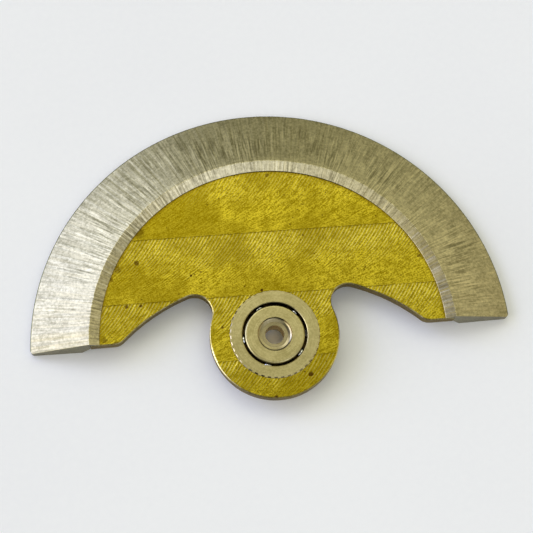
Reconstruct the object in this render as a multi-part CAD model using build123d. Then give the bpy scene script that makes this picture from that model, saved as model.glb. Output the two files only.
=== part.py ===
from build123d import *
from math import acos, cos, degrees, pi, radians, sin, sqrt, tan
import os

# An automatic watch rotor: a heavy half ring carried by a brass plate, which turns on a small
# ball bearing. The bearing's toothed outer ring is fixed in the plate and drives the winding
# train; its two-part inner ring is screwed to the movement and stands still.
# Millimetres. The origin is on the bearing's axis, at the face that seats on the movement.
# +Z goes up through the decorated face, and +Y towards the middle of the half ring.

# Rotor as a whole
rotor_radius = 12.8
end_rise_angle = 0.70

# Heavy half ring
weight_face_width = 3.13
bevel_width = 0.52
crest_rise = 0.28
outer_wall_height = 0.43
weight_drop = 0.72
lip_edge = 0.04
lip_reach = 0.50
underside_splay = 0.47
weight_edge_break = 0.04
end_corner_radius = 0.20
rabbet_clearance = 0.02

# Brass plate
plate_thickness = 0.60
plate_edge_break = 0.06
hub_radius = 3.42
notch_radius = 0.95
notch_angle = 20.0
tail_length = 1.54
tail_arc_radius = 10.0
tail_fillet = 0.80
tail_edge_y = 0.10
stripe_pitch = 3.475
stripe_offset = 2.22
stripe_depth = 0.015
stripe_run_out = 0.05

# Ball bearing
bearing_height = 1.05
ring_proud = 0.02
ring_seat_gap = 0.10
collar_radius = 2.38
collar_clearance = 0.01
ring_edge_break = 0.02
ball_diameter = 0.60
ball_pitch_radius = 1.66
ball_plane_height = 0.52
ball_play = 0.012
ball_count = 5
lip_gap = 0.12
outer_lip_break = 0.03
cage_channel_width = 0.38

# Inner ring of the bearing
bore_radius = 0.50
recess_radius = 0.92
recess_slope = 32.0
recess_floor_radius = 0.70
recess_floor_slope = 10.0
cone_chamfer = 0.13
seat_chamfer = 0.08
spigot_clearance = 0.005

# Cage of the bearing
cage_clearance = 0.05
cage_base_height = 0.09
pocket_play = 0.03
prong_reach = 0.16
prong_width = 0.20
prong_root_drop = 0.12
cell_angle = 69.25
first_ball_angle = 44.75

# Winding pinion, cut on the outer ring
pinion_teeth = 42
pinion_module = 0.117
pressure_angle = 20.0
addendum_share = 1.0
dedendum_share = 1.25

# One overrun for every cut
cut_overrun = 0.30

# Levels
bearing_top = bearing_height
plate_top = bearing_top - ring_proud
plate_bottom = plate_top - plate_thickness
weight_bottom = plate_bottom - weight_drop
weight_crest = plate_top + crest_rise
ring_bottom = ring_seat_gap

# Radii that follow from the sizes above
crest_radius = rotor_radius - weight_face_width
lip_radius = crest_radius - bevel_width
rabbet_radius = lip_radius + lip_reach
plate_radius = rabbet_radius - rabbet_clearance
stripe_radius = lip_radius + stripe_run_out
ball_radius = ball_diameter / 2
cone_reach = (ball_radius + ball_play) * sqrt(2)
outer_lip_radius = ball_pitch_radius + lip_gap / 2
inner_lip_radius = ball_pitch_radius - lip_gap / 2
outer_groove_radius = ball_pitch_radius + cone_reach
inner_groove_radius = ball_pitch_radius - cone_reach
outer_channel_radius = ball_pitch_radius + cage_channel_width / 2
inner_channel_radius = ball_pitch_radius - cage_channel_width / 2
pitch_radius = pinion_module * pinion_teeth / 2
tip_radius = pitch_radius + addendum_share * pinion_module
root_radius = pitch_radius - dedendum_share * pinion_module
base_radius = pitch_radius * cos(radians(pressure_angle))


def at_angle(radius, degrees):
    """A point in the plan at a radius and an angle from +X."""
    return (radius * cos(radians(degrees)), radius * sin(radians(degrees)))


def ring_solid(section, sweep=360.0, start=0.0):
    """Turns a closed outline of (radius, height) points about the bearing's axis."""
    face = make_face(Plane.XZ * Polyline(*section, close=True))
    return Rot(0, 0, start) * revolve(face, Axis.Z, revolution_arc=sweep)


def build_weight():
    """Half ring with a conical top and a bevelled lip, which holds the plate from above."""
    edge = weight_edge_break
    outer_top = weight_bottom + outer_wall_height
    cone_slope = (weight_crest - outer_top) / (rotor_radius - crest_radius)
    section = [
        (rabbet_radius + underside_splay, weight_bottom),
        (rotor_radius - edge, weight_bottom),
        (rotor_radius, weight_bottom + edge),
        (rotor_radius, outer_top - edge),
        (rotor_radius - edge, outer_top + cone_slope * edge),
        (crest_radius, weight_crest),
        (lip_radius, plate_top + lip_edge),
        (lip_radius, plate_top),
        (rabbet_radius, plate_top),
        (rabbet_radius, plate_bottom),
    ]
    sweep = 180.0 - 2 * end_rise_angle
    weight = ring_solid(section, sweep, end_rise_angle)
    corners = weight.edges().filter_by(Axis.Z).sort_by_distance((0, 0, 0))[-2:]
    return fillet(corners, end_corner_radius)


def plate_outline():
    """Plan of the plate: half disc, round hub, and a rounded notch on each side of the hub.

    The notch touches the hub's circle, and a wide arc leaves the notch's crown and ends at the
    tail. The wide arc's centre is found from the two circles that it lies on: one round the
    notch's centre, the other round the tail's corner.
    """
    notch = Vector(*at_angle(hub_radius + notch_radius, notch_angle))
    rim = Vector(sqrt(plate_radius ** 2 - tail_edge_y ** 2), tail_edge_y)
    tail = Vector(rim.X - tail_length, tail_edge_y)
    span = tail - notch
    notch_reach = tail_arc_radius - notch_radius
    along = (notch_reach ** 2 - tail_arc_radius ** 2 + span.length ** 2) / (2 * span.length)
    across = sqrt(notch_reach ** 2 - along ** 2)
    downward = Vector(span.Y, -span.X).normalized()
    centre = notch + span.normalized() * along + downward * across

    neck = Vector(*at_angle(hub_radius, notch_angle))
    crown = notch + (notch - centre).normalized() * notch_radius
    notch_side = notch + ((neck + crown) * 0.5 - notch).normalized() * notch_radius
    flank = centre + ((crown + tail) * 0.5 - centre).normalized() * tail_arc_radius

    def left(point):
        return Vector(-point.X, point.Y)

    outline = Curve() + [
        ThreePointArc(left(neck), (0, -hub_radius), neck),
        ThreePointArc(neck, notch_side, crown),
        ThreePointArc(crown, flank, tail),
        Line(tail, rim),
        ThreePointArc(rim, (0, plate_radius), left(rim)),
        Line(left(rim), left(tail)),
        ThreePointArc(left(tail), left(flank), left(crown)),
        ThreePointArc(left(crown), left(notch_side), left(neck)),
    ]
    plan = make_face(outline)
    tails = [plan.vertices().sort_by_distance(point)[0] for point in (tail, left(tail))]
    return fillet(tails, tail_fillet)


def stripe_cutters():
    """Long shallow wedges: each band of the striped face dips to its upper edge."""
    field = Cylinder(stripe_radius, 2 * (plate_top + cut_overrun))
    cutters = []
    first = -int((hub_radius + stripe_offset) / stripe_pitch) - 1
    last = int((stripe_radius - stripe_offset) / stripe_pitch)
    for band in range(first, last + 1):
        upper = stripe_offset + band * stripe_pitch
        lower = upper - stripe_pitch
        wedge = make_face(Plane.YZ * Polyline(
            (upper, plate_top - stripe_depth),
            (upper, plate_top + cut_overrun),
            (lower, plate_top + cut_overrun),
            (lower, plate_top),
            close=True,
        ))
        cutters.append(extrude(wedge, plate_radius + cut_overrun, both=True) & field)
    return cutters


def build_plate():
    """Brass carrier plate with a striped face and a hole for the bearing."""
    plan = plate_outline()
    plate = Pos(0, 0, plate_bottom) * extrude(plan, plate_thickness)
    top_rim = plate.faces().sort_by(Axis.Z)[-1].outer_wire().edges()
    open_edges = [edge for edge in top_rim if edge.center().Y < plate_radius / 2]
    plate = chamfer(open_edges, plate_edge_break)
    hole = Cylinder(collar_radius + collar_clearance, plate_thickness + 2 * cut_overrun,
                    align=(Align.CENTER, Align.CENTER, Align.MIN))
    plate -= Pos(0, 0, plate_bottom - cut_overrun) * hole
    return plate - stripe_cutters()


def tooth_gap():
    """Plan of one gap between involute teeth, from the root circle out past the tips."""
    half_tooth = pi / (2 * pinion_teeth) + tan(radians(pressure_angle)) - radians(pressure_angle)

    def flank(radius, side):
        roll = acos(min(1.0, base_radius / radius))
        tooth_half_angle = half_tooth - (tan(roll) - roll)
        gap_half_angle = pi / pinion_teeth - tooth_half_angle
        return (radius * cos(gap_half_angle), side * radius * sin(gap_half_angle))

    beyond = tip_radius + pinion_module / 2
    outline = Curve() + [
        Line(flank(root_radius, -1), flank(root_radius, 1)),
        ThreePointArc(flank(root_radius, 1), flank(pitch_radius, 1), flank(beyond, 1)),
        Line(flank(beyond, 1), flank(beyond, -1)),
        ThreePointArc(flank(beyond, -1), flank(pitch_radius, -1), flank(root_radius, -1)),
    ]
    return make_face(outline)


def build_outer_ring():
    """Outer ring of the bearing: collar in the plate, toothed pinion below it, grooved bore."""
    edge = ring_edge_break
    section = [
        (outer_channel_radius, ring_bottom),
        (tip_radius - edge, ring_bottom),
        (tip_radius, ring_bottom + edge),
        (tip_radius, plate_bottom),
        (collar_radius, plate_bottom),
        (collar_radius, bearing_top - edge),
        (collar_radius - edge, bearing_top),
        (outer_lip_radius + outer_lip_break, bearing_top),
        (outer_lip_radius, bearing_top - outer_lip_break),
        (outer_lip_radius, ball_plane_height + cone_reach - lip_gap / 2),
        (outer_groove_radius, ball_plane_height),
        (outer_channel_radius, ball_plane_height - cone_reach + cage_channel_width / 2),
    ]
    ring = ring_solid(section)
    gap = Pos(0, 0, ring_bottom - cut_overrun) * extrude(tooth_gap(), bearing_height + 2 * cut_overrun)
    gaps = [Rot(0, 0, 360.0 * tooth / pinion_teeth) * gap for tooth in range(pinion_teeth)]
    return ring - gaps


def recess_depth_at(radius):
    """Depth of the dished screw recess below the bearing's top, at a radius."""
    wall_depth = (recess_radius - recess_floor_radius) * tan(radians(recess_slope))
    floor_depth = (recess_floor_radius - radius) * tan(radians(recess_floor_slope))
    return wall_depth + floor_depth


def build_inner_core():
    """Lower half of the inner ring: seat face, lower cone, and the spigot with the screw's bore."""
    channel_top = ball_plane_height - cone_reach + cage_channel_width / 2
    section = [
        (bore_radius, 0),
        (inner_channel_radius - seat_chamfer, 0),
        (inner_channel_radius, seat_chamfer),
        (inner_channel_radius, channel_top),
        (inner_groove_radius, ball_plane_height),
        (recess_radius, ball_plane_height),
        (recess_radius, bearing_top),
        (recess_floor_radius, bearing_top - recess_depth_at(recess_floor_radius)),
        (bore_radius, bearing_top - recess_depth_at(bore_radius)),
    ]
    return ring_solid(section)


def build_inner_cone():
    """Upper half of the inner ring, pressed over the spigot: upper cone and chamfered rim."""
    section = [
        (recess_radius + spigot_clearance, ball_plane_height),
        (inner_groove_radius, ball_plane_height),
        (inner_lip_radius, ball_plane_height + cone_reach - lip_gap / 2),
        (inner_lip_radius, bearing_top - cone_chamfer),
        (inner_lip_radius - cone_chamfer, bearing_top),
        (recess_radius + spigot_clearance, bearing_top),
    ]
    return ring_solid(section)


def ball_angle(index):
    """Where ball number index sits, counted from the first."""
    return first_ball_angle + index * cell_angle


def build_cage():
    """Open comb cage: one snap pocket in each cell, bent round to a narrow slot."""
    half_width = cage_channel_width / 2 - cage_clearance
    inner = ball_pitch_radius - half_width
    outer = ball_pitch_radius + half_width
    base_top = ball_plane_height - ball_radius - pocket_play
    base_bottom = base_top - cage_base_height
    prong_top = ball_plane_height + prong_reach
    wall = [(inner, base_bottom), (outer, base_bottom), (outer, prong_top), (inner, prong_top)]
    start = ball_angle(0) - cell_angle / 2
    cage = ring_solid(wall, ball_count * cell_angle, start)

    pocket_radius = ball_radius + pocket_play
    pocket_half_angle = degrees((pocket_radius + prong_width) / ball_pitch_radius)
    root = ball_plane_height - prong_root_drop
    relief = [
        (inner - cage_clearance, root),
        (outer + cage_clearance, root),
        (outer + cage_clearance, prong_top + cut_overrun),
        (inner - cage_clearance, prong_top + cut_overrun),
    ]
    pocket = Cylinder(pocket_radius, 2 * cage_channel_width, rotation=(0, 90, 0))
    cutters = []
    for index in range(ball_count):
        x, y = at_angle(ball_pitch_radius, ball_angle(index))
        cutters.append(Pos(x, y, ball_plane_height) * Rot(0, 0, ball_angle(index)) * pocket)
        gap_start = ball_angle(index) + pocket_half_angle
        cutters.append(ring_solid(relief, cell_angle - 2 * pocket_half_angle, gap_start))
    first_gap = ball_angle(0) - cell_angle + pocket_half_angle
    cutters.append(ring_solid(relief, cell_angle - 2 * pocket_half_angle, first_gap))
    return cage - cutters


def build_ball(index):
    """One ball of the bearing, in its pocket."""
    x, y = at_angle(ball_pitch_radius, ball_angle(index))
    return Pos(x, y, ball_plane_height) * Sphere(ball_radius)


pieces = {
    "half_ring_weight": build_weight(),
    "carrier_plate": build_plate(),
    "bearing_outer_ring": build_outer_ring(),
    "bearing_inner_core": build_inner_core(),
    "bearing_inner_cone": build_inner_cone(),
    "ball_cage": build_cage(),
}
for ball in range(ball_count):
    pieces[f"ball_{ball + 1}"] = build_ball(ball)

os.makedirs("parts", exist_ok=True)
for name, solid in pieces.items():
    export_step(solid, f"parts/{name}.step")
    print(name, round(solid.volume, 4))
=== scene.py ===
# %% [markdown]
# # A watch rotor, from its frame to its finish
#
# An automatic watch winds itself with a half disc that swings on a small ball bearing. This
# lesson dresses one: a heavy half ring with a brushed top, a brass plate with wide stripes, and
# the bearing in the plate's hub.
#
# The first cell loads the measured solids as a fixed frame. Their places and sizes are true
# already, so every piece below is built straight where it belongs, and nothing is moved to fit.

# %% Load the frame
import random
from math import acos, asin, atan2, cos, degrees, pi, radians, sin, sqrt, tan

import bmesh
import bpy
from mathutils import Matrix, Vector


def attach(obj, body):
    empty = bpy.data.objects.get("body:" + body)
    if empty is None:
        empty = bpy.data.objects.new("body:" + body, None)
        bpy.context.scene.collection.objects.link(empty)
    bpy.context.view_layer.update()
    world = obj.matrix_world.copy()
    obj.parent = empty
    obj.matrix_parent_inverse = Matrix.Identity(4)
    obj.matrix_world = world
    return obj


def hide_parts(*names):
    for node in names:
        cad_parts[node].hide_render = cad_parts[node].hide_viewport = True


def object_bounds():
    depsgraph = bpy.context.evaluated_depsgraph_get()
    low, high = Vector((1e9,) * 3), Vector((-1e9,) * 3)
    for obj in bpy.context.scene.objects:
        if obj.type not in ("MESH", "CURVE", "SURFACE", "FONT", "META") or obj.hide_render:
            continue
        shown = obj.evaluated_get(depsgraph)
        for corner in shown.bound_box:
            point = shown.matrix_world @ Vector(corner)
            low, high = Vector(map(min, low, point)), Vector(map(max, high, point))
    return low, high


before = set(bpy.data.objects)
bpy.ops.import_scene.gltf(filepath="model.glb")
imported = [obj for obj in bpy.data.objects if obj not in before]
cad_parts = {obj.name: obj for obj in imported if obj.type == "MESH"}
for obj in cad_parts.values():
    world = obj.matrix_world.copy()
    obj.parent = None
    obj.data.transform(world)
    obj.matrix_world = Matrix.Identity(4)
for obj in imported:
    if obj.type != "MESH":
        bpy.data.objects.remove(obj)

MM = 0.001
cad_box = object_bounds()
print("box in mm:", [[round(value / MM, 3) for value in corner] for corner in cad_box])

# %% [markdown]
# ## The camera
#
# The rotor lies on paper and is photographed from almost straight above, a little from its hub
# side, at arm's length of a phone. Its outer edge, crest and bearing are circles about one axis,
# so their shapes in the picture give the tilt. The camera stands 66 mm above the plate. That is
# nearer than Blender's usual clipping distance, so clip_start is set small.

# %% Camera at the photograph's angle
def look_from(place, target, up):
    """Turns a camera at one point towards another, with a given direction upwards."""
    back = (place - target).normalized()
    right = up.cross(back).normalized()
    turned_up = back.cross(right)
    turn = Matrix((right, turned_up, back)).transposed().to_4x4()
    return Matrix.Translation(place) @ turn


camera_place = Vector((-6.364, -16.48, 66.97))
camera_target = Vector((-0.087, 3.723, 1.03))
camera_up = Vector((0.0967, 0.9953, 0.0))

camera_data = bpy.data.cameras.new("camera")
camera_data.lens = 87.8
camera_data.clip_start = 0.002
camera = bpy.data.objects.new("camera", camera_data)
bpy.context.scene.collection.objects.link(camera)
camera.matrix_world = look_from(camera_place * MM, camera_target * MM, camera_up)
bpy.context.scene.camera = camera
bpy.context.scene.view_settings.view_transform = "Standard"
print("camera", [round(value / MM, 2) for value in camera.location], "mm")

# %% [markdown]
# ## Shader maths as plain Python
#
# A finish is a graph of nodes, and a graph written node by node is hard to read. Two small
# classes help. `Finish` owns a node tree and adds any node by its type, its settings and its
# inputs. `Value` wraps one output, and its operators add Math nodes, so `1 - mask * 0.3` in the
# code becomes two nodes in the material.

# %% Two small classes for node trees
class Value:
    """One output of a node tree. Python's operators add Math nodes behind it."""

    def __init__(self, finish, socket):
        self.finish = finish
        self.socket = socket

    def __getitem__(self, name):
        return Value(self.finish, self.socket.node.outputs[name])

    def __add__(self, other):
        return self.finish.maths("ADD", self, other)

    def __radd__(self, other):
        return self.finish.maths("ADD", other, self)

    def __sub__(self, other):
        return self.finish.maths("SUBTRACT", self, other)

    def __rsub__(self, other):
        return self.finish.maths("SUBTRACT", other, self)

    def __mul__(self, other):
        return self.finish.maths("MULTIPLY", self, other)

    def __rmul__(self, other):
        return self.finish.maths("MULTIPLY", other, self)

    def __truediv__(self, other):
        return self.finish.maths("DIVIDE", self, other)

    def __pow__(self, other):
        return self.finish.maths("POWER", self, other)


class Finish:
    """A node tree under construction."""

    def __init__(self, tree):
        self.tree = tree
        tree.nodes.clear()

    def node(self, kind, settings=None, inputs=None, output=0):
        """Adds a node: its settings first, then its input values or links."""
        made = self.tree.nodes.new("ShaderNode" + kind)
        for name, setting in (settings or {}).items():
            setattr(made, name, setting)
        for name, value in (inputs or {}).items():
            if isinstance(value, Value):
                self.tree.links.new(value.socket, made.inputs[name])
            else:
                made.inputs[name].default_value = value
        if made.outputs:
            return Value(self, made.outputs[output])

    def maths(self, operation, *values):
        return self.node("Math", {"operation": operation}, dict(enumerate(values)))

    def highest(self, *masks):
        """The highest of several masks at each point."""
        top = masks[0]
        for mask in masks[1:]:
            top = self.maths("MAXIMUM", top, mask)
        return top

    def between(self, value, low, high, to_low=0.0, to_high=1.0):
        """Carries a value from one range to another, smoothly and held at the ends."""
        return self.node(
            "MapRange",
            {"interpolation_type": "SMOOTHSTEP"},
            {"Value": value, "From Min": low, "From Max": high, "To Min": to_low, "To Max": to_high},
        )

    def mix(self, factor, first, second):
        """Mixes two colours."""
        return self.node("Mix", {"data_type": "RGBA"}, {0: factor, 6: first, 7: second}, output=2)

    def vector(self, x, y, z=0.0):
        return self.node("CombineXYZ", inputs={0: x, 1: y, 2: z})

    def noise(self, vector, scale=1.0, detail=2.0, roughness=0.5):
        return self.node(
            "TexNoise",
            inputs={"Vector": vector, "Scale": scale, "Detail": detail, "Roughness": roughness},
        )

    def millimetres(self):
        """Object coordinates in millimetres."""
        place = self.node("TexCoord", output="Object")
        return self.node("VectorMath", {"operation": "SCALE"}, {0: place, "Scale": 1 / MM})

    def plan(self, place):
        """The X, Y and Z of a place, and its distance from the bearing's axis."""
        split = self.node("SeparateXYZ", inputs={0: place})
        return split, self.maths("SQRT", split["X"] * split["X"] + split["Y"] * split["Y"])

    def bump(self, height, strength, distance):
        """A relief in the shading, its distance in millimetres."""
        inputs = {"Strength": strength, "Distance": distance * MM, "Height": height}
        return self.node("Bump", inputs=inputs)

    def surface(self, inputs):
        """Ends the tree with a Principled shader."""
        shader = self.node("BsdfPrincipled", inputs=inputs)
        self.node("OutputMaterial", inputs={"Surface": shader})


def new_material(name):
    material = bpy.data.materials.new(name)
    material.use_nodes = True
    return material, Finish(material.node_tree)


def srgb(red, green, blue):
    """A colour as a picture shows it, in 0 to 255, turned into Blender's linear values."""
    linear = [((value / 255 + 0.055) / 1.055) ** 2.4 for value in (red, green, blue)]
    return (*linear, 1.0)


print("helpers ready")

# %% [markdown]
# ## Paper, and light from all round
#
# The floor is a sheet of pale paper under the weight. Polished metal has hardly any colour of its
# own: it shows what stands round it, so most of its look is made here. Four broad lights stand
# round the rotor, the strongest low on the left and the warmest low on the right. Seven narrower
# ones stand where the cone, the bevel and the brass mirror the room, and the cone passes from dark
# at its top to bright at its left end because of them. Each light is one lobe of brightness in the
# world: the cosine to its direction, raised to a power that says how narrow it is. The camera
# itself sees a plain pale background.

# %% Paper
floor_level = cad_box[0].z
floor_side = 0.6


def as_object(bm, name):
    """Turns a bmesh into an object in the scene. The bmesh is used up."""
    mesh = bpy.data.meshes.new(name)
    bm.to_mesh(mesh)
    bm.free()
    made = bpy.data.objects.new(name, mesh)
    bpy.context.scene.collection.objects.link(made)
    return made


def make_paper():
    material, paper = new_material("pale paper")
    place = paper.millimetres()
    fibre = paper.noise(place, scale=3.0, detail=5.0, roughness=0.7)
    cloudy = paper.noise(place, scale=0.05)
    tone = paper.between(fibre * 0.4 + cloudy * 0.6, 0.3, 0.7)
    colour = paper.mix(tone, srgb(243, 243, 246), srgb(247, 247, 249))
    bump = paper.bump(fibre, strength=0.2, distance=0.02)
    paper.surface({"Base Color": colour, "Roughness": 0.8, "Normal": bump})
    return material


floor_bm = bmesh.new()
bmesh.ops.create_grid(floor_bm, x_segments=1, y_segments=1, size=floor_side / 2)
bmesh.ops.translate(floor_bm, vec=(0, 0, floor_level), verts=floor_bm.verts)
floor = as_object(floor_bm, "paper")
floor.data.materials.append(make_paper())
print("paper at", round(floor_level / MM, 3), "mm")

# %% Light
world = bpy.data.worlds.new("room")
bpy.context.scene.world = world
world.use_nodes = True
room = Finish(world.node_tree)
towards = room.node("TexCoord", output="Generated")

# bearing from +X and height above the paper in degrees, narrowness, colour
broad, narrow = 8, 40
lobes = [
    (60, 50, broad, (1.17, 1.17, 0.80)),
    (300, 50, broad, (1.15, 1.18, 1.10)),
    (0, 15, broad, (0.80, 0.72, 0.45)),
    (180, 15, broad, (3.6, 3.65, 4.3)),
    (300, 50, narrow, (0.40, 0.45, 0.75)),
    (120, 42, narrow, (1.15, 1.25, 1.25)),
    (106, 28, narrow, (0.22, 0.23, 0.18)),
    (110, 60, narrow, (2.15, 2.1, 2.0)),
    (240, 60, narrow, (0.75, 0.75, 0.65)),
    (150, 30, narrow, (2.3, 2.75, 5.0)),
    (200, 45, narrow, (1.3, 1.2, 0.45)),
]
glow = (0.0, 0.0, 0.0)
for bearing, height, narrowness, colour in lobes:
    level = cos(radians(height))
    aim = (level * cos(radians(bearing)), level * sin(radians(bearing)), sin(radians(height)))
    toward = room.node("VectorMath", {"operation": "DOT_PRODUCT"}, {0: towards, 1: aim}, "Value")
    lobe = room.maths("MAXIMUM", toward, 0.0) ** narrowness
    light = room.node("VectorMath", {"operation": "SCALE"}, {0: colour, "Scale": lobe})
    glow = room.node("VectorMath", {"operation": "ADD"}, {0: glow, 1: light})
lit = room.node("Background", inputs={"Color": glow})
plain = room.node("Background", inputs={"Color": srgb(238, 238, 236)})
ray = room.node("LightPath", output="Is Camera Ray")
seen = room.node("MixShader", inputs={0: ray, 1: lit, 2: plain})
room.node("OutputWorld", inputs={"Surface": seen})
print("lobes of light:", len(lobes))

# %% [markdown]
# ## From an outline to a finished piece
#
# Nearly every piece here is turned on a lathe, so its section is drawn once, as a few points of
# radius and height in millimetres, and spun about the bearing's axis. Pieces that aren't round
# take cuts. The last helper scales a piece to metres, gives it its materials, ties it to the
# body it moves with and hides the solid it stands for.

# %% Spin, cut and finish
round_steps = 360
merge_distance = 1e-5
pattern_space = 0.02


def plan_radius(point):
    """Distance of a point from the bearing's axis."""
    return sqrt(point.x ** 2 + point.y ** 2)


def only(items, kind):
    """The items of one kind among those that an operator made."""
    return [item for item in items if isinstance(item, kind)]


def open_edges(items):
    return [edge for edge in items if edge.is_boundary]


def face_outwards(bm):
    bmesh.ops.recalc_face_normals(bm, faces=bm.faces)


def cylinder(radius, length, steps=round_steps):
    """A closed cylinder on the Z axis, for drilling."""
    bm = bmesh.new()
    bmesh.ops.create_cone(
        bm, cap_ends=True, segments=steps, radius1=radius, radius2=radius, depth=length
    )
    return bm


def turned(section, steps=round_steps, softened=0.0, sweep=360.0, start=0.0):
    """Spins a closed outline of (radius, height) points about the Z axis."""
    bm = bmesh.new()
    face = bm.faces.new([bm.verts.new((radius, 0.0, height)) for radius, height in section])
    if softened:
        bmesh.ops.bevel(
            bm, geom=list(bm.verts), offset=softened, offset_type="OFFSET", segments=3,
            profile=0.5, affect="VERTICES", material=-1,
        )
    bmesh.ops.delete(bm, geom=list(bm.faces), context="FACES_ONLY")
    turn = Matrix.Rotation(radians(start), 3, "Z")
    bmesh.ops.rotate(bm, cent=(0, 0, 0), matrix=turn, verts=bm.verts)
    whole = sweep == 360.0
    bmesh.ops.spin(
        bm, geom=bm.verts[:] + bm.edges[:], cent=(0, 0, 0), axis=(0, 0, 1),
        angle=radians(sweep), steps=steps, use_merge=whole,
    )
    if not whole:
        bmesh.ops.edgeloop_fill(bm, edges=open_edges(bm.edges))
    face_outwards(bm)
    return bm


def cut(bm, cutter, operation="DIFFERENCE"):
    """Cuts one closed bmesh with another and returns the result. Both are used up."""
    solid = as_object(bm, "solid")
    tool = as_object(cutter, "tool")
    boolean = solid.modifiers.new("cut", "BOOLEAN")
    boolean.operation = operation
    boolean.solver = "EXACT"
    boolean.object = tool
    bpy.context.view_layer.update()
    shaped = bpy.data.meshes.new_from_object(
        solid.evaluated_get(bpy.context.evaluated_depsgraph_get())
    )
    result = bmesh.new()
    result.from_mesh(shaped)
    for mesh in (solid.data, tool.data, shaped):
        bpy.data.meshes.remove(mesh)
    return result


def settled(piece):
    """Bakes a piece's modifiers into its mesh, in metres, with its pattern space on the axis."""
    graph = bpy.context.evaluated_depsgraph_get()
    graph.update()
    mesh = bpy.data.meshes.new_from_object(
        piece.evaluated_get(graph), preserve_all_data_layers=True, depsgraph=graph
    )
    mesh.transform(Matrix.Scale(MM, 4))
    mesh.use_auto_texspace = False
    mesh.texspace_location = (0, 0, 0)
    mesh.texspace_size = [pattern_space] * 3
    piece.modifiers.clear()
    rough = piece.data
    piece.data = mesh
    bpy.data.meshes.remove(rough)
    mesh.name = piece.name


def finish_piece(bm, name, body, node, materials, sharp=25.0):
    """Turns a bmesh in millimetres into a finished piece in metres, and ties it to its body."""
    bmesh.ops.remove_doubles(bm, verts=bm.verts, dist=merge_distance)
    piece = as_object(bm, name)
    for material in materials:
        piece.data.materials.append(material)
    piece.data.shade_smooth()
    piece.data.set_sharp_from_angle(angle=radians(sharp))
    shading = piece.modifiers.new("broad faces lead", "WEIGHTED_NORMAL")
    shading.keep_sharp = True
    shading.weight = 100
    shading.thresh = 0.0001
    settled(piece)
    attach(piece, body)
    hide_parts(node)
    print(name, len(piece.data.polygons), "faces")


print(round_steps, "steps round")

# %% [markdown]
# ## Finishes
#
# Each metal is a Principled shader with Metallic at one. What tells them apart is the direction of
# the fine scratches. Radial brushing spreads a reflection across itself, and the shader's
# Anisotropic value does that, since its usual direction runs round the piece's own Z axis. Turned
# faces carry fine rings as bump instead. Streaks and clouds come on top, as small changes of tone.

# %% Brushed alloy
def polar(finish, middle_radius):
    """Distance along a circle round the axis and from the axis, and the place's X, Y and Z."""
    split, radius = finish.plan(finish.millimetres())
    angle = finish.maths("ARCTAN2", split["Y"], split["X"])
    return angle * middle_radius, radius, split


def make_brushed_alloy(name, dark, light, smoothest, roughest, anisotropy, dulling_and_shade=0.0):
    """Radially brushed alloy, between two roughnesses, darker towards its right end, partly from
    wear and partly as painted shade.
    """
    brush_middle, brush_inner, brush_outer = 11.0, 9.9, 12.4
    material, finish = new_material(name)
    place = finish.millimetres()
    wander = finish.noise(place, scale=0.5)
    along, radius, split = polar(finish, brush_middle)
    along = along + wander * 0.03

    # fine lines and broader streaks, which fade in patches and towards the outer edge
    fine = finish.noise(finish.vector(along * 12, radius * 0.9), roughness=0.6)
    streak = finish.noise(finish.vector(along * 7.0, radius * 0.4, 5.0), detail=1.0)
    cut_mark = finish.noise(finish.vector(along * 10.0, radius * 0.5, 3.0), detail=1.0)
    grain = finish.noise(place, scale=7.0, detail=3.0, roughness=0.7)
    cloud = finish.noise(place, scale=1.6, detail=3.0)
    patches = finish.noise(place, scale=0.6)
    clear = finish.between(patches, 0.4, 0.6, 0.4, 1.0)
    clear = clear * finish.between(radius, 10.6, brush_outer, 1.0, 0.5)
    lines = (fine * 0.6 + streak * 0.35 - 0.475) * clear

    # painted sheen: the bevel, the cone's left end and its right side are a little lighter near the
    # crest
    bevel_sheen = finish.between(radius, brush_inner - 0.05, brush_inner + 0.05, 0.03, 0.0)
    left_end_sheen = finish.between(split["X"], -9.5, -8.0, 0.035, 0.0)
    right_side_sheen = finish.between(split["X"], 2.5, 5.5, 0.0, 0.03)
    inwards = finish.between(radius, brush_inner, brush_outer, 1.0, 0.0)
    painted_sheen = finish.highest(inwards * finish.highest(left_end_sheen, right_side_sheen), bevel_sheen)

    tone = finish.between(lines + grain * 0.35 + cloud * 0.15 + painted_sheen + 0.255, 0.345, 0.70)
    colour = finish.mix(tone, srgb(*dark), srgb(*light))
    scored = finish.between(cut_mark, 0.6, 0.7, 0.0, 0.5) * clear
    colour = finish.mix(scored, colour, srgb(126, 120, 92))
    # darker towards the right end: partly wear, partly painted shade
    dull_and_shade = finish.between(split["X"], 6.8, 9.8, 0.0, dulling_and_shade)
    colour = finish.mix(dull_and_shade, colour, srgb(150, 136, 84))
    bump = finish.bump(lines + grain * 0.25 - scored * 0.4, strength=0.17, distance=0.012)
    rough = finish.between(streak, 0.3, 0.7, smoothest, roughest)
    finish.surface({
        "Base Color": colour, "Metallic": 1.0, "Roughness": rough, "Anisotropic": anisotropy,
        "Normal": bump,
    })
    return material


def make_turned_metal(name, dark, light, middle_radius, pitch=0.02, roughness=0.25, edge_tint=1.0):
    """Metal cut on a lathe: fine rings about the axis. A low edge tint keeps its rims dark."""
    material, finish = new_material(name)
    along, radius, split = polar(finish, middle_radius)
    height = split["Z"]
    rings = finish.noise(finish.vector(along * 0.3, radius / pitch, height / pitch), roughness=0.6)
    cloud = finish.noise(finish.vector(along * 0.8, radius * 1.2, height))
    grain = finish.noise(finish.millimetres(), scale=9.0, detail=3.0, roughness=0.7)
    tone = finish.between(rings * 0.35 + cloud * 0.25 + grain * 0.4, 0.38, 0.62)
    colour = finish.mix(tone, srgb(*dark), srgb(*light))
    finish.surface({
        "Base Color": colour, "Metallic": 1.0, "Roughness": roughness,
        "Normal": finish.bump(rings, strength=0.4, distance=0.001),
        "Specular Tint": (edge_tint, edge_tint, edge_tint, 1.0),
    })
    return material


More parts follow.
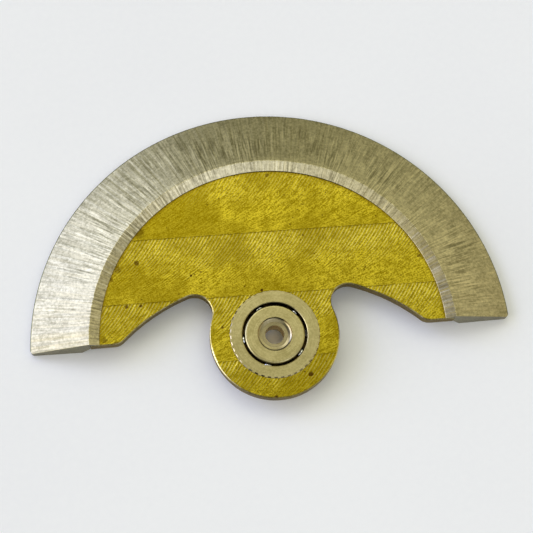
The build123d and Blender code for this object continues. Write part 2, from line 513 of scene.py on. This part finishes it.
brushed_cone = make_brushed_alloy(
    "brushed cone", (142, 134, 102), (240, 228, 186), 0.27, 0.36, 0.8
)
brushed_bevel = make_brushed_alloy(
    "brushed bevel", (138, 130, 102), (235, 224, 188), 0.2, 0.28, 0.3, dulling_and_shade=0.6
)
turned_alloy = make_turned_metal("turned alloy", (150, 148, 140), (190, 188, 180), 11.0)
sawn_alloy = make_turned_metal(
    "sawn alloy", (108, 104, 82), (152, 146, 116), 11.0, pitch=0.05, roughness=0.4
)
# painted shade: a dark alloy for the outer edge's widened break
rim_alloy_shade = make_turned_metal(
    "rim alloy in painted shade", (78, 80, 50), (112, 112, 76), 12.8, pitch=0.05, roughness=0.4
)
print("alloy finishes ready")

# %% [markdown]
# ## The half ring
#
# The weight is a section spun through a little less than half a turn: a wall outside, a wide cone
# that rises inwards to the crest, and a narrow bevelled lip that holds the plate from above.
# Its two outer corners are rounded off by a row of plane cuts, each tangent to the corner's
# circle, and every sharp edge then gets a tiny bevel, because it's the broken edges of a machined
# part that catch the light. The outer edge's bevel is then widened, and the crest made to wander a
# little.

# %% Sizes of the weight
# the outer radius stays a hair inside the solid's 12.8
rotor_radius = 12.799
crest_radius = 9.67
lip_radius = 9.15
rabbet_radius = 9.65
underside_radius = 10.12
weight_bottom = -0.29
outer_edge_level = 0.14
crest_level = 1.31
plate_top = 1.03
plate_bottom = 0.43
end_rise_angle = 0.70
lip_edge = 0.04
corner_radius = 0.20
edge_break = 0.022
rim_break = 0.045
crest_wear = 0.02
weight_steps = 480
sharp_corner = 20.0

# the weight's materials, in the order of its slots
cone_slot, bevel_slot, turned_slot, sawn_slot, rim_shade_slot = range(5)


def at_angle(radius, angle):
    """A point in the plan, at a radius and an angle in degrees from +X."""
    return Vector((radius * cos(radians(angle)), radius * sin(radians(angle)), 0.0))


print("weight", lip_radius, "to", rotor_radius, "mm")


# %% Weight
def rounded_corner(bm, side, cuts=6):
    """Rounds the outer corner at one end, side +1 on the right and -1 on the left."""
    inset = degrees(asin(corner_radius / (rotor_radius - corner_radius)))
    centre = at_angle(rotor_radius - corner_radius, end_rise_angle + inset)
    first = end_rise_angle - 90.0
    span = 90.0 + inset
    for index in range(cuts):
        outwards = at_angle(1.0, first + span * (index + 1) / (cuts + 1))
        touch = centre + outwards * corner_radius
        flip = Vector((side, 1.0, 1.0))
        made = bmesh.ops.bisect_plane(
            bm, geom=bm.verts[:] + bm.edges[:] + bm.faces[:], dist=1e-6,
            plane_co=touch * flip, plane_no=outwards * flip, clear_outer=True,
        )
        rim = open_edges(only(made["geom_cut"], bmesh.types.BMEdge))
        bmesh.ops.edgeloop_fill(bm, edges=rim)


def roughen_crest(bm):
    """Lets the crest wander in and out by a few hundredths, where the brushing crosses it."""
    chance = random.Random(5)
    wander = [chance.uniform(-crest_wear, crest_wear) for _ in range(weight_steps + 1)]
    for vert in bm.verts:
        radius = plan_radius(vert.co)
        if abs(radius - crest_radius) < 2 * edge_break and vert.co.z > plate_top + 0.2:
            place = degrees(atan2(vert.co.y, vert.co.x)) / 180 * weight_steps
            vert.co.xy *= 1 + wander[round(place)] / radius


def lower_rim(bm):
    """Brings the outer edge's inner line further in, so that the broken edge is wider there."""
    for vert in bm.verts:
        radius = plan_radius(vert.co)
        inner_line = rotor_radius - 2.5 * edge_break < radius < rotor_radius - 0.6 * edge_break
        if inner_line and vert.co.z > outer_edge_level - edge_break:
            inwards = rim_break - (rotor_radius - radius)
            slope = (crest_level - outer_edge_level) / (rotor_radius - crest_radius)
            vert.co.xy *= (radius - inwards) / radius
            vert.co.z += inwards * slope


def make_weight():
    section = [
        (underside_radius, weight_bottom),
        (rotor_radius, weight_bottom),
        (rotor_radius, outer_edge_level),
        (crest_radius, crest_level),
        (lip_radius, plate_top + lip_edge),
        (lip_radius, plate_top),
        (rabbet_radius, plate_top),
        (rabbet_radius, plate_bottom),
    ]
    bm = turned(section, weight_steps, sweep=180.0 - 2 * end_rise_angle, start=end_rise_angle)
    rounded_corner(bm, 1)
    rounded_corner(bm, -1)
    face_outwards(bm)
    corners = [
        edge for edge in bm.edges
        if edge.is_manifold and degrees(edge.calc_face_angle(0.0)) > sharp_corner
        and edge.is_convex
    ]
    bmesh.ops.bevel(
        bm, geom=corners, offset=edge_break, offset_type="OFFSET", segments=2, profile=0.5,
        affect="EDGES", material=-1, clamp_overlap=False,
    )
    lower_rim(bm)
    roughen_crest(bm)
    face_outwards(bm)
    for face in bm.faces:
        middle = face.calc_center_median()
        radius = plan_radius(middle)
        # the widened outer edge break gets the dark rim alloy, as painted shade
        if face.normal.z > 0.5 and radius > rotor_radius - rim_break:
            face.material_index = rim_shade_slot
        elif face.normal.z > 0.5:
            face.material_index = cone_slot if radius > crest_radius else bevel_slot
        else:
            sawn = face.normal.y < -0.7 and abs(face.normal.z) < 0.4 and middle.y < 0.5
            face.material_index = sawn_slot if sawn else turned_slot
    finish_piece(
        bm, "weight", "rotor", "half_ring_weight",
        [brushed_cone, brushed_bevel, turned_alloy, sawn_alloy, rim_alloy_shade],
    )


make_weight()

# %% [markdown]
# ## The striped plate
#
# The plate's stripes are the tracks of a small spinning wheel, drawn across the brass in four
# parallel bands. Every turn of the wheel leaves one arc, and the next arc lies a fifth of a
# millimetre further along. Each band is a hair lower at its upper edge, where the lines are
# deepest, and fades out towards its lower edge.
#
# Lines that are three pixels apart can be real grooves, so they are: a grid is bent to follow the
# arcs and pressed down in every groove. It is closed to a slab, and the plate's outline is cut
# from it. The colour uses the same arcs, for a painted highlight on the raised side and painted
# shade in the bottom of each line.

# %% Sizes of the plate
plate_radius = 9.63
hub_radius = 3.42
notch_radius = 0.95
notch_angle = 20.0
tail_length = 1.54
tail_arc_radius = 10.0
tail_fillet = 0.80
tail_edge_y = 0.10
plate_edge_break = 0.06
bearing_hole_radius = 2.381
stripe_pitch = 3.475
stripe_offset = 2.22
stripe_depth = 0.015
wheel_radius = 7.2
wheel_rise = 3.64
wheel_reach = sqrt(wheel_radius ** 2 - wheel_rise ** 2)
groove_pitch = 0.2
groove_depth = 0.012
columns_per_groove = 5
steep_columns = 2
groove_rows = 22
groove_fade = 0.85
weakest_groove, groove_variation = 0.55, 0.45
top_band_depth = 0.5
bands = 4
highest_band = 2
slab_start, slab_end = -7.4, 24.6
cut_overrun = 0.1
top_overrun = 0.02
drill_length = 4.0
face_margin = 0.01

# the plate's materials, in the order of its slots
striped_slot, plain_slot, edge_slot, worn_sheen_slot = range(4)
print("plate", round(plate_top - plate_bottom, 2), "mm thick")


# %% Outline of the plate
def arc_on(bm, last, centre, angle, steps):
    """Carries an outline on: its last point turns about a centre, and leaves edges behind."""
    made = bmesh.ops.spin(
        bm, geom=[last], cent=centre, axis=(0, 0, 1), angle=radians(angle), steps=steps
    )
    return only(made["geom_last"], bmesh.types.BMVert)[0]


def heading(start, end):
    """Direction from one point to another, in degrees."""
    return degrees(atan2(end.y - start.y, end.x - start.x))


def outline_right_half(bm):
    """Hub, notch, flank, tail and rim of the plate's right half, as one chain of edges."""
    notch = at_angle(hub_radius + notch_radius, notch_angle)
    rim = Vector((sqrt(plate_radius ** 2 - tail_edge_y ** 2), tail_edge_y, 0.0))
    tail = Vector((rim.x - tail_length, tail_edge_y, 0.0))
    span = tail - notch
    reach = tail_arc_radius - notch_radius
    along = (reach ** 2 - tail_arc_radius ** 2 + span.length ** 2) / (2 * span.length)
    across = sqrt(reach ** 2 - along ** 2)
    downward = Vector((span.y, -span.x, 0.0)).normalized()
    flank_centre = notch + span.normalized() * along + downward * across
    fillet_y = tail_edge_y + tail_fillet
    fillet_reach = tail_arc_radius + tail_fillet
    fillet_x = flank_centre.x + sqrt(fillet_reach ** 2 - (fillet_y - flank_centre.y) ** 2)
    fillet_centre = Vector((fillet_x, fillet_y, 0.0))
    crown = notch + (notch - flank_centre).normalized() * notch_radius

    last = bm.verts.new((0.0, -hub_radius, 0.0))
    last = arc_on(bm, last, (0, 0, 0), 90.0 + notch_angle, 64)
    notch_turn = heading(notch, crown) - (notch_angle + 180.0)
    last = arc_on(bm, last, notch, notch_turn, 28)
    flank_turn = heading(flank_centre, fillet_centre) - heading(flank_centre, crown)
    last = arc_on(bm, last, flank_centre, flank_turn, 40)
    fillet_turn = -90.0 - heading(fillet_centre, flank_centre)
    last = arc_on(bm, last, fillet_centre, fillet_turn, 10)
    corner = bm.verts.new(rim)
    bm.edges.new((last, corner))
    arc_on(bm, corner, (0, 0, 0), 90.0 - heading(Vector(), rim), 120)


def make_outline_prism(lowest, highest):
    """A prism on the plate's outline. Its walls lean in near the top, as the edge's chamfer."""
    bm = bmesh.new()
    outline_right_half(bm)
    bmesh.ops.mirror(bm, geom=bm.verts[:] + bm.edges[:], axis="X", merge_dist=merge_distance)
    bmesh.ops.remove_doubles(bm, verts=bm.verts, dist=merge_distance)
    bmesh.ops.translate(bm, vec=(0, 0, lowest), verts=bm.verts)
    bmesh.ops.edgeloop_fill(bm, edges=list(bm.edges))
    base = list(bm.faces)
    made = bmesh.ops.extrude_face_region(bm, geom=base)
    top = only(made["geom"], bmesh.types.BMFace)
    corners = list({vert for face in top for vert in face.verts})
    rise = plate_top - plate_edge_break - lowest
    bmesh.ops.translate(bm, vec=(0, 0, rise), verts=corners)
    lean = plate_edge_break + highest - plate_top
    face_outwards(bm)
    bmesh.ops.inset_region(bm, faces=top, thickness=lean, depth=0.0, use_even_offset=True)
    corners = list({vert for face in top for vert in face.verts})
    bmesh.ops.translate(bm, vec=(0, 0, lean), verts=corners)
    face_outwards(bm)
    return bm


print("outline ready")


# %% Grooved slab
def wheel_shift(fall):
    """How far a wheel's arc has moved to the left, at a depth below its band's upper edge."""
    return sqrt(wheel_radius ** 2 - (wheel_rise + fall) ** 2) - wheel_reach


def groove_level(column, fall, band, strength):
    """Height of the striped face: a dip towards the band's upper edge, and the grooves."""
    share = fall / stripe_pitch
    dip = stripe_depth * (1 - share)
    step = column % columns_per_groove
    rise = step / steep_columns if step <= steep_columns else (
        (columns_per_groove - step) / (columns_per_groove - steep_columns)
    )
    band_share = top_band_depth if band == 0 else 1.0
    depth = strength * groove_depth * (1 - groove_fade * share) * band_share
    return plate_top - dip - depth * (1 - rise)


def make_grooved_slab(lowest):
    """Bends a flat grid so that its columns follow the wheel's arcs, band after band."""
    step = groove_pitch / columns_per_groove
    columns = round((slab_end - slab_start) / step)
    lines = bands * (groove_rows + 1) - 1
    shift = wheel_shift(stripe_pitch)
    first_angle = acos(wheel_rise / wheel_radius)
    last_angle = acos((wheel_rise + stripe_pitch) / wheel_radius)
    chance = random.Random(11)
    strengths = [weakest_groove + groove_variation * chance.random() for _ in range(columns)]
    bm = bmesh.new()
    bmesh.ops.create_grid(bm, x_segments=columns, y_segments=lines, size=1.0)
    for vert in bm.verts:
        column = round((vert.co.x + 1) / 2 * columns)
        line = round((1 - vert.co.y) / 2 * lines)
        band, row = divmod(line, groove_rows + 1)
        angle = first_angle + (last_angle - first_angle) * row / groove_rows
        fall = wheel_radius * cos(angle) - wheel_rise
        start = slab_start + column * step
        upper = stripe_offset + (highest_band - band) * stripe_pitch
        vert.co.x = start + band * shift + wheel_shift(fall)
        vert.co.y = upper - fall
        strength = strengths[column // columns_per_groove]
        vert.co.z = groove_level(column, fall, band, strength)
    made = bmesh.ops.extrude_edge_only(bm, edges=open_edges(bm.edges))
    for vert in only(made["geom"], bmesh.types.BMVert):
        vert.co.z = lowest
    bmesh.ops.edgeloop_fill(bm, edges=open_edges(bm.edges))
    face_outwards(bm)
    return bm


print("arcs move by", round(wheel_shift(stripe_pitch), 2), "mm")

# %% Striped brass
# place of each stain on the plate, its radius in millimetres, and its strength
stains = [
    (-6.94, 4.43, 0.10, 0.7), (-4.13, 3.53, 0.06, 0.9), (-3.95, 3.57, 0.05, 0.6),
    (-3.59, 3.68, 0.05, 0.8), (-7.60, 2.07, 0.10, 0.8), (-6.87, 2.07, 0.07, 0.8),
    (2.05, 5.34, 0.05, 0.8), (1.66, -2.29, 0.11, 0.9), (-0.24, -3.36, 0.08, 1.0),
    (-6.71, 6.10, 0.22, 0.4), (-7.98, 4.13, 0.16, 0.45), (-8.35, 3.60, 0.10, 0.4),
    (8.20, 3.70, 0.10, 0.6), (5.20, 3.30, 0.05, 0.6), (-2.70, 0.55, 0.06, 0.7),
    (0.45, 8.90, 0.09, 0.6), (-0.46, 2.43, 0.06, 1.0), (7.60, 0.35, 0.09, 0.6),
    (-8.85, 0.35, 0.12, 0.5), (-8.30, 0.16, 0.08, 0.5),
]

# scale of a scatter of specks, their radius in millimetres, the share of cells without one,
# and their strength
speck_scatters = [(1.3, 0.045, 0.7, 0.75), (3.1, 0.03, 0.8, 0.6)]


def groove_place(finish, split):
    """Band, depth below the band's upper edge, and distance along the row of arcs."""
    band_height = (split["Y"] - stripe_offset) / stripe_pitch
    band = finish.maths("FLOOR", band_height)
    fall = (1 - finish.maths("FRACT", band_height)) * stripe_pitch
    drop = fall + wheel_rise
    reach = finish.maths("SQRT", wheel_radius ** 2 - drop * drop)
    start = split["X"] - reach + wheel_reach - (highest_band - band) * wheel_shift(stripe_pitch)
    return band, fall, start


def make_striped_brass():
    material, finish = new_material("striped brass")
    place = finish.millimetres()
    split, radius = finish.plan(place)
    band, fall, start = groove_place(finish, split)

    scratch = finish.noise(finish.vector(start * 14, fall * 0.6, band * 3.7))
    patch = finish.noise(place, scale=1.6)
    places = finish.vector(start * 7.5, fall * 4.5, band * 5.3)
    grain = finish.noise(places, detail=3.0, roughness=0.6)
    dust = finish.noise(place, scale=13.0, roughness=0.6)
    cloud = finish.noise(place, scale=0.55, detail=4.0, roughness=0.6)

    # the lines: a painted highlight on the raised side and painted shade in the bottom of each,
    # worn away towards each band's lower edge
    phase = finish.maths("FRACT", (start + scratch * 0.05) / groove_pitch)
    top_band = finish.between(split["Y"], 5.6, 5.8)
    ridge_highlight = finish.between(phase, 0.0, 0.12) * finish.between(phase, 0.22, 0.42, 1.0, 0.0)
    worn = finish.between(fall + patch * 2.0 - 1.0, 0.4, 2.3, 1.0, 0.14) * (1 - top_band * 0.55)
    line = ridge_highlight * worn * finish.between(grain * 0.5 + dust * 0.5, 0.4, 0.54, 0.25, 1.0)
    tone = finish.between(scratch * 0.15 + grain * 0.4 + dust * 0.45, 0.4, 0.6)
    colour = finish.mix(tone, srgb(140, 121, 4), srgb(218, 197, 50))
    colour = finish.mix(line, colour, srgb(236, 222, 130))
    hollow_shade = finish.between(phase, 0.5, 0.75) * finish.between(phase, 0.85, 0.99, 1.0, 0.0)
    colour = finish.mix(hollow_shade * worn * 0.35, colour, srgb(118, 98, 4))

    # darker patina clouds, with painted shade at the upper left, at the foot of the hub and towards
    # the left
    hub_foot_shade = finish.between(0 - split["Y"], 1.5, 3.0, 0.0, 0.12)
    upper_left_shade = finish.between(0 - split["X"], 1.5, 5.0, 0.0, 0.2) * top_band
    clouds_and_shade = cloud - split["X"] * 0.006 + upper_left_shade + hub_foot_shade
    patina_and_shade = finish.between(clouds_and_shade, 0.38, 0.68, 0.0, 0.6)
    colour = finish.mix(patina_and_shade, colour, srgb(138, 118, 4))

    rim_stain = finish.between(radius + grain * 0.25 + patch * 0.2, 9.2, 9.4, 0.0, 0.6)
    colour = finish.mix(rim_stain, colour, srgb(112, 84, 10))
    # painted shade along the small step at each band's upper edge
    step_shade = finish.between(fall, 0.02, 0.09, 0.5, 0.0)
    step_shade = step_shade * finish.between(patch, 0.35, 0.6, 0.3, 1.0)
    colour = finish.mix(step_shade, colour, srgb(104, 84, 6))

    # specks in chosen cells of a scatter, and stains at their own places
    masks = []
    for scale, size, share, strength in speck_scatters:
        cells = finish.node("TexVoronoi", inputs={"Vector": place, "Scale": scale})
        chosen = finish.between(
            finish.node("SeparateXYZ", inputs={0: cells["Color"]}), share, share + 0.03
        )
        edge = size * scale
        away = cells["Distance"] + dust * edge - edge * 0.5
        speck = finish.between(away, edge, edge * 1.7, 1.0, 0.0)
        masks.append(speck * chosen * strength)
    for x, y, size, strength in stains:
        away = finish.node(
            "VectorMath", {"operation": "DISTANCE"}, {0: place, 1: (x, y, plate_top)}, "Value"
        )
        away = away + grain * size * 2 - size
        masks.append(finish.between(away, size * 0.7, size * 1.6, strength, 0.0))
    spots = finish.highest(*masks)
    colour = finish.mix(spots, colour, srgb(80, 50, 10))

    height = scratch * 0.3 + grain * 0.45 + dust * 0.4 - spots * 0.8
    rough = finish.between(cloud * 0.5 + grain * 0.5, 0.3, 0.7, 0.28, 0.42) + spots * 0.25
    finish.surface({
        "Base Color": colour, "Metallic": 1.0, "Roughness": rough,
        "Normal": finish.bump(height, strength=0.7, distance=0.012),
    })
    return material


striped_brass = make_striped_brass()
plain_brass = make_turned_metal(
    "plain brass", (128, 106, 22), (162, 138, 40), 5.0, pitch=0.08, roughness=0.42
)
# the walls: sawn brass, darkened as painted shade
sawn_brass_shade = make_turned_metal(
    "sawn brass in painted shade", (88, 72, 22), (126, 106, 44), 5.0, pitch=0.1, roughness=0.5
)
# the chamfer: pale worn brass, partly painted sheen where its edges catch the light
worn_brass_sheen = make_turned_metal(
    "worn brass with painted sheen", (176, 158, 70), (240, 230, 178), 5.0, pitch=0.12, roughness=0.28
)
print("brass with", len(stains), "stains")


# %% Plate
def make_plate():
    bm = make_grooved_slab(plate_bottom)
    outline = make_outline_prism(plate_bottom - cut_overrun, plate_top + top_overrun)
    bm = cut(bm, outline, "INTERSECT")
    bm = cut(bm, cylinder(bearing_hole_radius, drill_length))
    for face in bm.faces:
        hole_wall = plan_radius(face.calc_center_median()) < bearing_hole_radius + face_margin
        if face.normal.z > 0.9:
            face.material_index = striped_slot
        # the chamfer gets the pale worn brass: partly wear, partly painted sheen
        elif face.normal.z > 0.4:
            face.material_index = worn_sheen_slot
        # the walls get the dark sawn brass, as painted shade
        elif face.normal.z > -0.5 and not hole_wall:
            face.material_index = edge_slot
        else:
            face.material_index = plain_slot
    finish_piece(
        bm, "plate", "rotor", "carrier_plate",
        [striped_brass, plain_brass, sawn_brass_shade, worn_brass_sheen],
    )


make_plate()

# %% [markdown]
# ## The bearing
#
# A ring pressed into the plate carries the outer race, and below the plate its rim is cut into the
# 42 teeth that drive the winding train. Over each gap the cutter has left a sloping nick in the
# collar's edge. Inside, a core and a cone make the inner race, and an open cage keeps five balls
# apart. Teeth and nicks could be drawn as a bump, but their edges are what catches the light. So
# each ring is turned, and teeth, nicks and pockets are cut out of it as solids.

# %% Sizes of the bearing
bearing_top = 1.05
ring_bottom = 0.10
collar_radius = 2.38
ball_radius = 0.30
ball_play = 0.012
ball_pitch_radius = 1.66
ball_level = 0.52
lip_gap = 0.12
cone_chamfer = 0.13
cone_reach = (ball_radius + ball_play) * sqrt(2)
outer_lip = ball_pitch_radius + lip_gap / 2
inner_lip = ball_pitch_radius - lip_gap / 2
channel = 0.19
outer_groove = ball_pitch_radius + cone_reach
inner_groove = ball_pitch_radius - cone_reach
teeth = 42
module = 0.117
dedendum_share = 1.25
pressure_angle = radians(20.0)
pitch_radius = module * teeth / 2
tip_radius = pitch_radius + module
root_radius = pitch_radius - dedendum_share * module
base_radius = pitch_radius * cos(pressure_angle)
print(teeth, "teeth, out to", round(tip_radius, 3), "mm")

# the rings' materials, in the order of their slots
steel_slot, race_shade_slot, polished_slot, bore_slot = range(4)

bearing_steel = make_turned_metal(
    "bearing steel", (170, 158, 108), (202, 190, 140), 2.0, pitch=0.03, roughness=0.32
)
polished_steel = make_turned_metal(
    "polished steel", (156, 144, 112), (180, 168, 134), 1.0, pitch=0.06, roughness=0.15
)
# painted shade: a dark red-brown race for the narrow gap, with a low edge tint
race_shade_paint = make_turned_metal(
    "race in painted shade", (24, 9, 5), (42, 20, 12), 1.7, pitch=0.05, roughness=0.45, edge_tint=0.1
)
bore_steel = make_turned_metal(
    "bore steel", (190, 165, 105), (215, 190, 135), 0.5, pitch=0.06, roughness=0.35
)


# %% Toothed outer ring
nick_reach = 0.078
nick_slope = 38.0
nick_half_width = 0.09
nick_spare = 0.1
least_lean, most_lean = 0.5, 0.95
deepest_nick_angle = 240.0
shallow_nick_share = 0.25
deep_nick_spread = 1.6
collar_break = 0.012
lip_break = 0.04
ring_softening = 0.008
steps_per_tooth = 9
flank_steps = 5
gap_bottom = -0.3


def paint_race_shade(bm):
    """Gives the raceway the dark material, as painted shade where the light hardly reaches."""
    for face in bm.faces:
        middle = face.calc_center_median()
        radius = plan_radius(middle)
        outer_side = radius > ball_pitch_radius
        edge = lip_break if outer_side else cone_chamfer
        below_lip = ring_bottom < middle.z < bearing_top - edge - face_margin
        outwards = face.normal.x * middle.x + face.normal.y * middle.y
        towards_balls = outwards < 0 if outer_side else outwards > 0
        in_groove = inner_groove - face_margin < radius < outer_groove + face_margin
        if below_lip and towards_balls and in_groove:
            face.material_index = race_shade_slot


def gap_half_angle(radius):
    """Half the angle of the gap between two involute teeth, at a radius."""
    half_tooth = pi / (2 * teeth) + tan(pressure_angle) - pressure_angle
    roll = acos(min(1.0, base_radius / radius))
    return pi / teeth - (half_tooth - (tan(roll) - roll))


def thicken(bm, face, reach):
    """Gives a face a thickness, as a prism."""
    made = bmesh.ops.extrude_face_region(bm, geom=[face])
    bmesh.ops.translate(bm, vec=reach, verts=only(made["geom"], bmesh.types.BMVert))


def tooth_gap_cutters(bottom, top):
    """The gaps between the teeth, from their roots out past the tips."""
    beyond = tip_radius + module / 2
    span = beyond - root_radius
    radii = [root_radius + span * step / flank_steps for step in range(flank_steps + 1)]
    right = [at_angle(radius, -degrees(gap_half_angle(radius))) for radius in radii]
    left = [at_angle(radius, degrees(gap_half_angle(radius))) for radius in reversed(radii)]
    bm = bmesh.new()
    level = Vector((0.0, 0.0, bottom))
    face = bm.faces.new([bm.verts.new(point + level) for point in right + left])
    thicken(bm, face, (0.0, 0.0, top - bottom))
    bmesh.ops.spin(
        bm, geom=bm.verts[:] + bm.edges[:] + bm.faces[:], cent=(0, 0, 0), axis=(0, 0, 1),
        angle=2 * pi * (teeth - 1) / teeth, steps=teeth - 1, use_duplicate=True,
    )
    face_outwards(bm)
    return bm


def nick_cutters():
    """The sloping run-out of each tooth gap at the collar's edge, deepest on one side."""
    steep = tan(radians(nick_slope))
    bm = bmesh.new()
    for tooth in range(teeth):
        angle = 360.0 * tooth / teeth
        lean = (1 + cos(radians(angle - deepest_nick_angle))) / 2
        deepening = deep_nick_spread * lean * (1 - shallow_nick_share)
        reach = nick_reach * min(1.0, shallow_nick_share + deepening)
        inner, outer = collar_radius - reach - nick_spare, collar_radius + nick_spare
        top = bearing_top + nick_spare * steep
        section = [(inner, top), (outer, top - (outer - inner) * steep), (outer, top)]
        corners = [bm.verts.new((radius, -nick_half_width, height)) for radius, height in section]
        present = set(bm.verts) - set(corners)
        thicken(bm, bm.faces.new(corners), (0.0, 2 * nick_half_width, 0.0))
        wedge = [vert for vert in bm.verts if vert not in present]
        turn = Matrix.Rotation(radians(angle), 3, "Z")
        bmesh.ops.rotate(bm, cent=(0, 0, 0), matrix=turn, verts=wedge)
    face_outwards(bm)
    return bm


def make_outer_ring():
    section = [
        (ball_pitch_radius + channel, ring_bottom),
        (tip_radius, ring_bottom),
        (tip_radius, plate_bottom),
        (collar_radius, plate_bottom),
        (collar_radius, bearing_top - collar_break),
        (collar_radius - collar_break, bearing_top),
        (outer_lip + lip_break, bearing_top),
        (outer_lip, bearing_top - lip_break),
        (outer_lip, ball_level + cone_reach - lip_gap / 2),
        (outer_groove, ball_level),
        (ball_pitch_radius + channel, ball_level - cone_reach + channel),
    ]
    bm = turned(section, teeth * steps_per_tooth, softened=ring_softening)
    bm = cut(bm, tooth_gap_cutters(gap_bottom, plate_bottom))
    bm = cut(bm, nick_cutters())
    for face in bm.faces:
        at_edge = plan_radius(face.calc_center_median()) > collar_radius - nick_reach
        if at_edge and least_lean < face.normal.z < most_lean:
            face.material_index = polished_slot
    paint_race_shade(bm)
    finish_piece(
        bm, "outer_ring", "rotor", "bearing_outer_ring",
        [bearing_steel, race_shade_paint, polished_steel],
    )


make_outer_ring()

# %% Inner ring
bore_radius = 0.50
recess_radius = 0.92
recess_floor_radius = 0.70
recess_step = 0.06
recess_floor = 0.168
bore_top = 0.878
seat_chamfer = 0.08
core_drop = 0.004
spigot_gap = 0.002
rim_steps = 6
edge_softening = 0.004
recess_lip = 0.012
recess_reach = 0.3

# the recess's wall at its top and foot, in from the spigot's edge, and its fillet, in and down
wall_top_inset, wall_foot_inset = 0.015, 0.027
recess_fillet = [(0.042, 0.035), (0.10, 0.072)]


def paint_recess(core):
    """Polishes the recess. Its steep wall takes the bore's steel, and the race's painted shade at
    the far side.
    """
    for face in core.faces:
        middle = face.calc_center_median()
        radius = plan_radius(middle)
        in_recess = bore_radius + face_margin < radius < recess_radius - recess_lip
        if in_recess and middle.z > bearing_top - recess_reach:
            # painted shade on the far side of the steep wall
            wall_slot = race_shade_slot if middle.y > 0.8 * radius else bore_slot
            face.material_index = wall_slot if face.normal.z < 0.5 else polished_slot
        if radius < bore_radius + face_margin and seat_chamfer < middle.z < bore_top:
            face.material_index = bore_slot


def make_inner_ring():
    core = turned([
        (bore_radius, 0.0),
        (ball_pitch_radius - channel - seat_chamfer, 0.0),
        (ball_pitch_radius - channel, seat_chamfer),
        (ball_pitch_radius - channel, ball_level - cone_reach + channel),
        (inner_groove, ball_level),
        (recess_radius, ball_level),
        (recess_radius, bearing_top - core_drop),
        (recess_radius - wall_top_inset, bearing_top - core_drop),
        (recess_radius - wall_foot_inset, bearing_top - recess_step),
        *[(recess_radius - inset, bearing_top - recess_step - depth)
          for inset, depth in recess_fillet],
        (recess_floor_radius, bearing_top - recess_floor),
        (bore_radius, bore_top),
    ], softened=edge_softening)
    paint_recess(core)
    rim_turns = [radians(90.0 * step / rim_steps) for step in range(rim_steps + 1)]
    rounded_rim = [
        (inner_lip - cone_chamfer * (1 - cos(turn)), bearing_top - cone_chamfer * (1 - sin(turn)))
        for turn in rim_turns
    ]
    cone = turned([
        (recess_radius + spigot_gap, ball_level),
        (inner_groove, ball_level),
        (inner_lip, ball_level + cone_reach - lip_gap / 2),
        *rounded_rim,
        (recess_radius + spigot_gap, bearing_top),
    ], softened=edge_softening)
    # the far side of the cone's rounded rim gets the race's painted shade
    for face in cone.faces:
        if face.normal.y > 0.35 and face.normal.z < 0.85:
            face.material_index = race_shade_slot
    steels = [bearing_steel, race_shade_paint, polished_steel, bore_steel]
    for name, bm in (("inner_core", core), ("inner_cone", cone)):
        paint_race_shade(bm)
        finish_piece(bm, name, "inner_ring", f"bearing_{name}", steels)


make_inner_ring()

# %% Cage and balls
cell_angle = 69.25
first_ball_angle = 44.75
ball_count = 5
pocket_radius = ball_radius + 0.03
pocket_steps, space_steps, cage_steps = 48, 24, 240
cage_half_width = channel - 0.05
cage_base_height = 0.09
prong_reach = 0.16
prong_width = 0.20
prong_root_drop = 0.12
relief_side, relief_top = 0.05, 1.0

# dark brass, darkened further as painted shade in the gap between the rings
cage_brass_shade = make_turned_metal(
    "cage brass darkened as painted shade", (52, 38, 18), (84, 66, 32), 1.6, pitch=0.05, roughness=0.45
)
ball_steel = make_turned_metal(
    "ball steel", (225, 225, 225), (235, 235, 235), 1.6, pitch=0.4, roughness=0.06
)


def ball_pocket(angle):
    """A drill along the radius, through a ball's place."""
    bm = cylinder(pocket_radius, 4 * channel, pocket_steps)
    turn = Matrix.Rotation(radians(angle), 3, "Z") @ Matrix.Rotation(pi / 2, 3, "Y")
    bmesh.ops.rotate(bm, cent=(0, 0, 0), matrix=turn, verts=bm.verts)
    place = at_angle(ball_pitch_radius, angle) + Vector((0, 0, ball_level))
    bmesh.ops.translate(bm, vec=place, verts=bm.verts)
    return bm


def make_cage():
    """A ring with a slot, cut by one tool at a time: pockets, and spaces between the prongs."""
    inner = ball_pitch_radius - cage_half_width
    outer = ball_pitch_radius + cage_half_width
    base = ball_level - pocket_radius - cage_base_height
    prong_top = ball_level + prong_reach
    wall = [(inner, base), (outer, base), (outer, prong_top), (inner, prong_top)]
    sweep, start = ball_count * cell_angle, first_ball_angle - cell_angle / 2
    bm = turned(wall, cage_steps, sweep=sweep, start=start)
    pocket_half_angle = degrees((pocket_radius + prong_width) / ball_pitch_radius)
    space_sweep = cell_angle - 2 * pocket_half_angle
    root = ball_level - prong_root_drop
    near, far = inner - relief_side, outer + relief_side
    relief = [(near, root), (far, root), (far, relief_top), (near, relief_top)]
    for index in range(-1, ball_count):
        angle = first_ball_angle + index * cell_angle
        if index >= 0:
            bm = cut(bm, ball_pocket(angle))
        start = angle + pocket_half_angle
        bm = cut(bm, turned(relief, space_steps, sweep=space_sweep, start=start))
    finish_piece(bm, "cage", "cage", "ball_cage", [cage_brass_shade])


def make_ball(index):
    bm = bmesh.new()
    bmesh.ops.create_uvsphere(bm, u_segments=64, v_segments=32, radius=ball_radius)
    place = at_angle(ball_pitch_radius, first_ball_angle + index * cell_angle)
    bmesh.ops.translate(bm, vec=place + Vector((0, 0, ball_level)), verts=bm.verts)
    name = f"ball_{index + 1}"
    finish_piece(bm, f"steel_{name}", name, name, [ball_steel], sharp=180.0)


make_cage()
for index in range(ball_count):
    make_ball(index)

# %% Finish
print("all pieces built")
